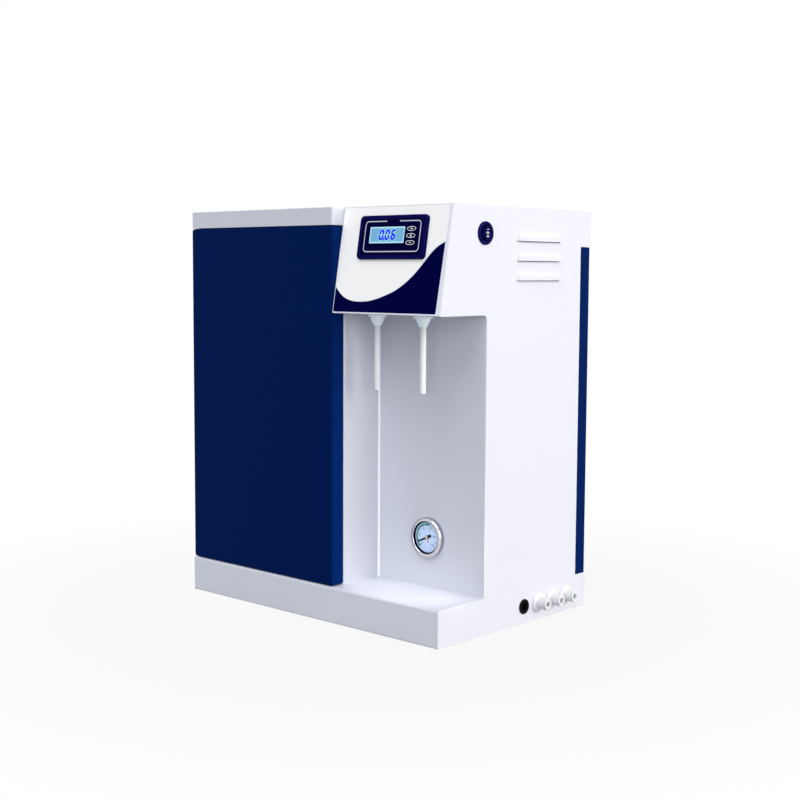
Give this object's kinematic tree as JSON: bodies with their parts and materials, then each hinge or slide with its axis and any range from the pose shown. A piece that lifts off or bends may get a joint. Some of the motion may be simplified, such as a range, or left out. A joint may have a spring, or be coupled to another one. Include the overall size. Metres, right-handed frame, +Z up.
{
  "type": "ultrapure water system",
  "caption": "Sheet-metal bench water purifier with a hinged cartridge door, sloped control head, dispensing bay with spout tubes and a pressure gauge.",
  "frame": {"origin": "on the bench, under the middle of the overall box", "axes": "+X to the right of someone facing the door, +Y to the back, +Z up"},
  "size_m": [0.4144, 0.2683, 0.472],
  "materials": {
    "white_paint": "powder-coated, semi-gloss",
    "blue_paint": "powder-coated, semi-gloss",
    "zinc_sheet": "zinc-plated",
    "black_rubber": "matt",
    "pin_steel": "turned",
    "black_plastic": "moulded, matt",
    "fascia_film": "printed polyester film, satin",
    "bezel_plastic": "moulded, satin",
    "panel_film": "printed film, gloss",
    "display_glass": "backlit liquid crystal",
    "key_plastic": "printed film over a key",
    "circuit_board": "solder mask",
    "switch_plastic": "moulded, gloss",
    "rocker_plastic": "moulded, gloss",
    "terminal_brass": "plain",
    "gauge_steel": "polished stainless steel",
    "gauge_glass": "clear",
    "dial_card": "printed",
    "pointer_paint": "black",
    "nozzle_plastic": "translucent moulding",
    "spout_plastic": "translucent tube",
    "port_plastic": "white acetal",
    "cartridge_plastic": "white moulding",
    "housing_plastic": "white moulding",
    "motor_paint": "satin black",
    "supply_aluminium": "anodised",
    "tube_plastic": "polyethylene tube"
  },
  "bodies": {
    "cabinet": {"base_pan": "white_paint", "chassis_deck": "zinc_sheet", "left_side_panel": "white_paint", "right_side_panel": "white_paint", "bay_back_wall": "white_paint", "bay_left_wall": "white_paint", "head_plate": "white_paint", "top_cover": "white_paint", "rear_cover": "blue_paint", "rear_posts": "zinc_sheet", "rubber_feet": "black_rubber", "hinge_pin_lower": "pin_steel", "hinge_pin_upper": "pin_steel", "magnetic_catch": "black_plastic", "fascia_overlay": "fascia_film", "controller_bezel": "bezel_plastic", "controller_face": "panel_film", "display_lcd": "display_glass", "controller_board": "circuit_board", "controller_case": "black_plastic", "controller_clamps": "black_plastic", "switch_housing": "switch_plastic", "switch_terminals": "terminal_brass", "gauge_case": "gauge_steel", "gauge_bezel": "gauge_steel", "gauge_lens": "gauge_glass", "gauge_dial": "dial_card", "gauge_movement": "terminal_brass", "nozzle_left": "nozzle_plastic", "nozzle_right": "nozzle_plastic", "spout_tube_left": "spout_plastic", "spout_tube_right": "spout_plastic", "port_drain": "port_plastic", "port_pure": "port_plastic", "port_feed": "port_plastic", "lock_nuts": "port_plastic", "cable_grommet": "black_rubber", "cartridge_rack": "zinc_sheet", "sediment_cartridge": "cartridge_plastic", "carbon_cartridge": "cartridge_plastic", "softening_cartridge": "cartridge_plastic", "membrane_housing": "housing_plastic", "polishing_housing": "housing_plastic", "cartridge_clips": "port_plastic", "pump_motor": "motor_paint", "pump_head": "black_plastic", "pump_cradle": "zinc_sheet", "power_supply": "supply_aluminium", "inlet_valve": "black_plastic", "water_tubes": "tube_plastic"},
    "door": {"door_panel": "blue_paint", "door_strike": "pin_steel"},
    "rocker": {"switch_rocker": "rocker_plastic"},
    "upper_key": {"key_upper": "key_plastic"},
    "middle_key": {"key_middle": "key_plastic"},
    "lower_key": {"key_lower": "key_plastic"},
    "needle": {"gauge_pointer": "pointer_paint"},
    "drain_collet": {"collet_drain": "port_plastic"},
    "pure_collet": {"collet_pure": "port_plastic"},
    "feed_collet": {"collet_feed": "port_plastic"}
  },
  "joints": [
    {"name": "door_hinge", "type": "hinge", "parent": "cabinet", "child": "door", "pos_m": [-0.20225, -0.1265, 0.25], "axis": [0, 0, -1], "range_deg": [0, 105]},
    {"name": "power_rocker", "type": "hinge", "parent": "cabinet", "child": "rocker", "pos_m": [0.19175, -0.062, 0.4427], "axis": [0, 1, 0], "range_deg": [-10, 10]},
    {"name": "upper_key_press", "type": "slide", "parent": "cabinet", "child": "upper_key", "axis": [0, 0.9856, -0.1692], "range_m": [0, 0.0008], "stiffness_N_per_m": 300, "springref_m": -0.0005},
    {"name": "middle_key_press", "type": "slide", "parent": "cabinet", "child": "middle_key", "axis": [0, 0.9856, -0.1692], "range_m": [0, 0.0008], "stiffness_N_per_m": 300, "springref_m": -0.0005},
    {"name": "lower_key_press", "type": "slide", "parent": "cabinet", "child": "lower_key", "axis": [0, 0.9856, -0.1692], "range_m": [0, 0.0008], "stiffness_N_per_m": 300, "springref_m": -0.0005},
    {"name": "needle_turn", "type": "hinge", "parent": "cabinet", "child": "needle", "pos_m": [0.11295, -0.0563, 0.1046], "axis": [0, 1, 0], "range_deg": [0, 250], "stiffness_Nm_per_rad": 0.0008, "springref_deg": -11.46},
    {"name": "drain_collet_push", "type": "slide", "parent": "cabinet", "child": "drain_collet", "axis": [-1, 0, 0], "range_m": [0, 0.001]},
    {"name": "pure_collet_push", "type": "slide", "parent": "cabinet", "child": "pure_collet", "axis": [-1, 0, 0], "range_m": [0, 0.001]},
    {"name": "feed_collet_push", "type": "slide", "parent": "cabinet", "child": "feed_collet", "axis": [-1, 0, 0], "range_m": [0, 0.001]}
  ]
}
